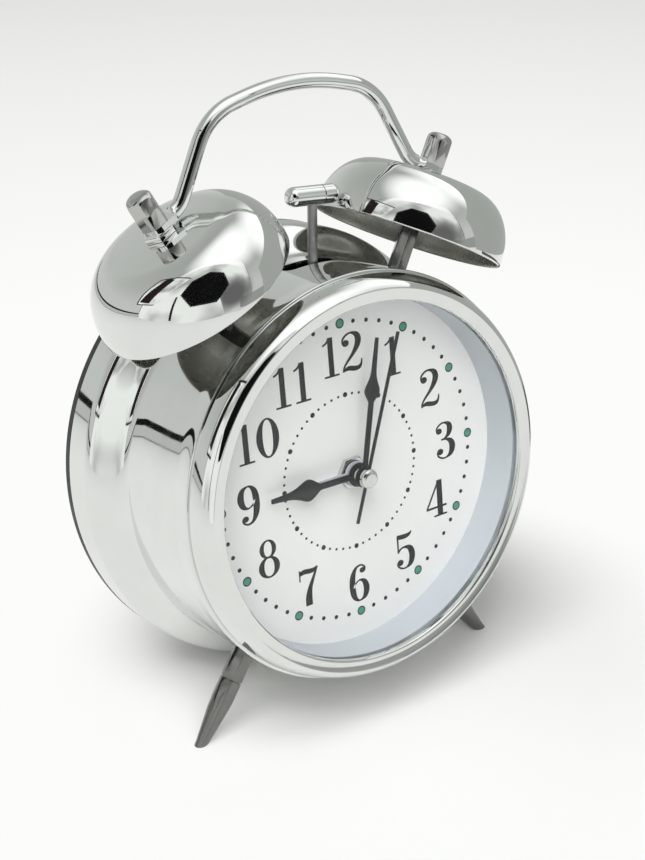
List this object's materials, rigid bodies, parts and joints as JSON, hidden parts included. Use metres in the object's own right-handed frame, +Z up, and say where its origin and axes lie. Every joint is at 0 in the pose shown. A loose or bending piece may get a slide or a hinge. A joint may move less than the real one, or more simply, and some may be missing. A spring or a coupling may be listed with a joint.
{
  "type": "twin bell alarm clock",
  "caption": "Round leaning table alarm clock with a plated drum case, domed bells on posts, a swinging hammer between them, a bent rod handle and tapered feet.",
  "frame": {"origin": "on the floor, under the middle of the clock's bounding box, with the clock leaning back as it stands", "axes": "+X to the right seen from the front, +Y towards the back, +Z up; the dial leans back from the vertical by the stance's tilt"},
  "size_m": [0.1196, 0.0706, 0.1623],
  "materials": {
    "chrome": "mirror plated",
    "nickel": "satin nickel",
    "steel": "bare steel",
    "window": "clear, polished",
    "white_plastic": "satin white",
    "dial_white": "matt white, printed",
    "hand_black": "satin black",
    "hand_grey": "light grey",
    "black_plastic": "fine grained black",
    "gear_plastic": "natural white",
    "brass": "turned",
    "copper": "enamelled copper winding",
    "board": "green laminate",
    "cell": "plain wrapped cell"
  },
  "bodies": {
    "clock": {"case_shell": "chrome", "bezel_ring": "chrome", "lens": "window", "reflector_ring": "white_plastic", "dial": "dial_white", "centre_nut": "nickel", "rear_cover": "black_plastic", "cover_screws": "steel", "battery_cell": "cell", "battery_contacts": "steel", "handle": "chrome", "collar_nuts": "chrome", "cap_nuts": "nickel", "post_nuts": "steel", "foot_nuts": "steel", "hammer_pin": "steel", "striker_bracket": "steel", "bracket_screws": "steel", "motor_can": "steel", "movement_front": "black_plastic", "movement_rear": "black_plastic", "circuit_board": "board", "stepper_coil": "copper", "stepper_stator": "steel", "switch_body": "black_plastic", "left_bell": "chrome", "right_bell": "chrome", "left_bell_post": "nickel", "right_bell_post": "nickel", "left_foot": "chrome", "right_foot": "chrome"},
    "minute_work": {"cannon_pinion": "brass", "minute_hand": "hand_black"},
    "hour_work": {"hour_wheel": "gear_plastic", "hour_hand": "hand_black"},
    "time_setting": {"motion_wheel": "gear_plastic", "time_knob": "black_plastic"},
    "second_work": {"second_arbor": "brass", "second_hand": "hand_black", "hand_cap": "nickel"},
    "third_work": {"third_wheel": "gear_plastic"},
    "centre_work": {"centre_wheel": "gear_plastic"},
    "alarm_work": {"alarm_wheel": "gear_plastic", "alarm_hand": "hand_grey"},
    "alarm_setting": {"alarm_setting_pinion": "gear_plastic", "alarm_knob": "black_plastic"},
    "hammer": {"hammer_arm": "steel", "hammer_head": "chrome"},
    "crank": {"motor_crank": "brass"},
    "switch": {"alarm_switch": "black_plastic"},
    "door": {"battery_door": "black_plastic"}
  },
  "joints": [
    {"name": "time_setting_turn", "type": "hinge", "parent": "clock", "child": "time_setting", "pos_m": [-0.0084, -0.01506, 0.06504], "axis": [0, 0.9903, -0.1392], "continuous": true},
    {"name": "minute_hand_turn", "type": "hinge", "parent": "clock", "child": "minute_work", "pos_m": [0, -0.01506, 0.06504], "axis": [0, 0.9903, -0.1392], "continuous": true},
    {"name": "hour_hand_turn", "type": "hinge", "parent": "clock", "child": "hour_work", "pos_m": [0, -0.01506, 0.06504], "axis": [0, 0.9903, -0.1392], "continuous": true},
    {"name": "second_hand_turn", "type": "hinge", "parent": "clock", "child": "second_work", "pos_m": [0, -0.01506, 0.06504], "axis": [0, 0.9903, -0.1392], "continuous": true},
    {"name": "third_wheel_turn", "type": "hinge", "parent": "clock", "child": "third_work", "pos_m": [0, -0.01606, 0.05791], "axis": [0, 0.9903, -0.1392], "continuous": true},
    {"name": "centre_wheel_turn", "type": "hinge", "parent": "clock", "child": "centre_work", "pos_m": [0, -0.01506, 0.06504], "axis": [0, 0.9903, -0.1392], "continuous": true},
    {"name": "alarm_setting_turn", "type": "hinge", "parent": "clock", "child": "alarm_setting", "pos_m": [0.0108, -0.01506, 0.06504], "axis": [0, 0.9903, -0.1392], "continuous": true},
    {"name": "alarm_hand_turn", "type": "hinge", "parent": "clock", "child": "alarm_work", "pos_m": [0, -0.01506, 0.06504], "axis": [0, 0.9903, -0.1392], "continuous": true},
    {"name": "hammer_swing", "type": "hinge", "parent": "clock", "child": "hammer", "pos_m": [0, 0.00149, 0.09301], "axis": [0, 0.9903, -0.1392], "range_deg": [-10, 0]},
    {"name": "motor_crank_turn", "type": "hinge", "parent": "clock", "child": "crank", "pos_m": [0, 0.0001, 0.08311], "axis": [0, 0.9903, -0.1392], "continuous": true},
    {"name": "alarm_switch_slide", "type": "slide", "parent": "clock", "child": "switch", "axis": [0, 0.1392, 0.9903], "range_m": [0, 0.005]},
    {"name": "battery_door_open", "type": "hinge", "parent": "clock", "child": "door", "pos_m": [0, 0.01805, 0.02757], "axis": [-1, 0, 0], "range_deg": [0, 75]}
  ],
  "couplings": [
    {"joint": "minute_hand_turn", "follows": "time_setting_turn", "ratio": -3},
    {"joint": "hour_hand_turn", "follows": "time_setting_turn", "ratio": -0.25},
    {"joint": "third_wheel_turn", "follows": "second_hand_turn", "ratio": -0.13333},
    {"joint": "centre_wheel_turn", "follows": "second_hand_turn", "ratio": 0.016667},
    {"joint": "alarm_hand_turn", "follows": "alarm_setting_turn", "ratio": -1}
  ]
}
